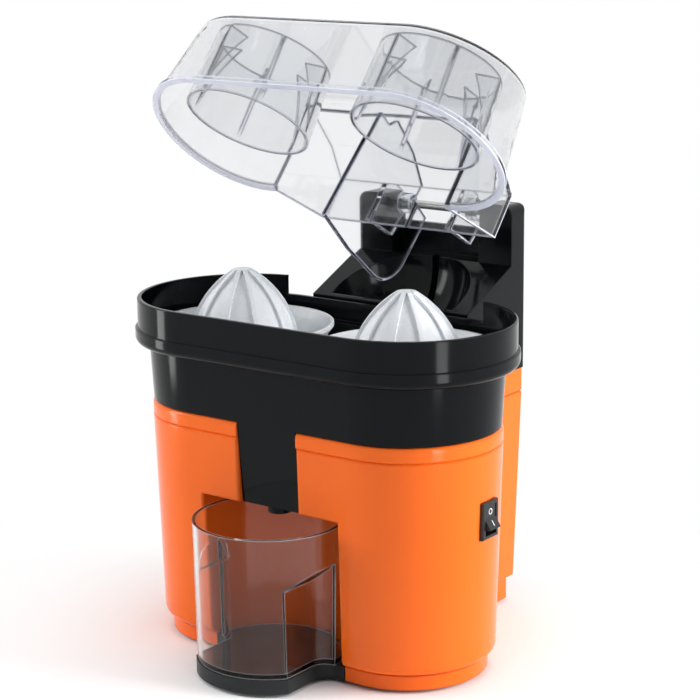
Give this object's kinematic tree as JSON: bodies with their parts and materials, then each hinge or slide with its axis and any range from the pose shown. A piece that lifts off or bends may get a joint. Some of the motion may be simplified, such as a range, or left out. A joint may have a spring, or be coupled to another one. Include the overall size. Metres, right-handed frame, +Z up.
{
  "type": "double citrus press",
  "caption": "Electric citrus press with paired reaming cones over a shared juice tray, a hinged clear pressing lid with cups and a fruit cutter, and a cup under the spout.",
  "frame": {"origin": "on the worktop, under the middle rubber foot, midway between the two cone axes", "axes": "+X along the two cones towards the switch, +Y to the back, +Z up"},
  "size_m": [0.2382, 0.2198, 0.3573],
  "materials": {
    "orange_plastic": "glossy moulded",
    "black_plastic": "glossy moulded",
    "clear_plastic": "polished clear",
    "white_plastic": "smooth moulded",
    "dark_base": "satin moulded",
    "gear_plastic": "satin moulded",
    "steel": "turned",
    "plated_steel": "zinc plated",
    "laminations": "pressed stack",
    "copper": "enamelled wire",
    "bronze": "sintered",
    "carbon": "pressed",
    "rubber": "matt",
    "switch_plastic": "fine grain"
  },
  "bodies": {
    "base": {"body_shell": "orange_plastic", "top_deck": "orange_plastic", "base_plate": "dark_base", "rubber_feet": "rubber", "base_screws": "plated_steel", "plate_screws": "plated_steel", "cover_screws": "plated_steel", "juice_collector": "black_plastic", "strainer_left": "white_plastic", "strainer_right": "white_plastic", "rear_cover": "black_plastic", "hinge_pin": "steel", "gear_plate": "plated_steel", "upper_bush_left": "bronze", "upper_bush_right": "bronze", "lower_bush_left": "bronze", "lower_bush_right": "bronze", "shaft_seal_left": "rubber", "shaft_seal_right": "rubber", "idler_axle_left": "steel", "idler_axle_right": "steel", "reduction_axle": "steel", "motor_stator": "laminations", "field_coils": "copper", "motor_upper_bracket": "plated_steel", "motor_lower_bracket": "plated_steel", "motor_upper_bearing": "bronze", "motor_lower_bearing": "bronze", "carbon_brushes": "carbon", "motor_bolts": "plated_steel", "switch_housing": "switch_plastic", "switch_terminals": "bronze", "cable_gland": "rubber"},
    "lid": {"lid": "clear_plastic", "press_cup_left": "clear_plastic", "press_cup_right": "clear_plastic", "cutter_blade": "clear_plastic"},
    "reamer_left": {"reamer_left": "white_plastic", "reamer_shaft_left": "steel", "reamer_gear_left": "gear_plastic"},
    "reamer_right": {"reamer_right": "white_plastic", "reamer_shaft_right": "steel", "reamer_gear_right": "gear_plastic"},
    "idler_left": {"idler_gear_left": "gear_plastic"},
    "idler_right": {"idler_gear_right": "gear_plastic"},
    "reduction": {"reduction_gear": "gear_plastic"},
    "rotor": {"motor_shaft": "steel", "armature": "laminations", "commutator": "copper", "motor_pinion": "steel"},
    "rocker": {"switch_rocker": "switch_plastic"},
    "cup": {"juice_cup": "clear_plastic"}
  },
  "joints": [
    {"name": "motor_spin", "type": "hinge", "parent": "base", "child": "rotor", "pos_m": [0, 0.062, 0.112], "axis": [0, 0, 1], "continuous": true},
    {"name": "reduction_spin", "type": "hinge", "parent": "base", "child": "reduction", "pos_m": [0, 0.026, 0.112], "axis": [0, 0, 1], "continuous": true},
    {"name": "idler_left_spin", "type": "hinge", "parent": "base", "child": "idler_left", "pos_m": [-0.02275, 0.03363, 0.112], "axis": [0, 0, 1], "continuous": true},
    {"name": "idler_right_spin", "type": "hinge", "parent": "base", "child": "idler_right", "pos_m": [0.02275, 0.03363, 0.112], "axis": [0, 0, 1], "continuous": true},
    {"name": "reamer_left_spin", "type": "hinge", "parent": "base", "child": "reamer_left", "pos_m": [-0.057, 0, 0.112], "axis": [0, 0, 1], "continuous": true},
    {"name": "reamer_right_spin", "type": "hinge", "parent": "base", "child": "reamer_right", "pos_m": [0.057, 0, 0.112], "axis": [0, 0, 1], "continuous": true},
    {"name": "lid_hinge", "type": "hinge", "parent": "base", "child": "lid", "pos_m": [0, 0.117, 0.2385], "axis": [1, 0, 0], "range_deg": [-44, 46]},
    {"name": "rocker_tilt", "type": "hinge", "parent": "base", "child": "rocker", "pos_m": [0.106, 0.002, 0.094], "axis": [0, 1, 0], "range_deg": [0, 32]},
    {"name": "cup_slide", "type": "slide", "parent": "base", "child": "cup", "axis": [0, -1, 0], "range_m": [0, 0.11]}
  ],
  "couplings": [
    {"joint": "reduction_spin", "follows": "motor_spin", "ratio": -0.2},
    {"joint": "idler_left_spin", "follows": "motor_spin", "ratio": 0.2},
    {"joint": "idler_right_spin", "follows": "motor_spin", "ratio": 0.2},
    {"joint": "reamer_left_spin", "follows": "motor_spin", "ratio": -0.066667},
    {"joint": "reamer_right_spin", "follows": "motor_spin", "ratio": -0.066667}
  ]
}
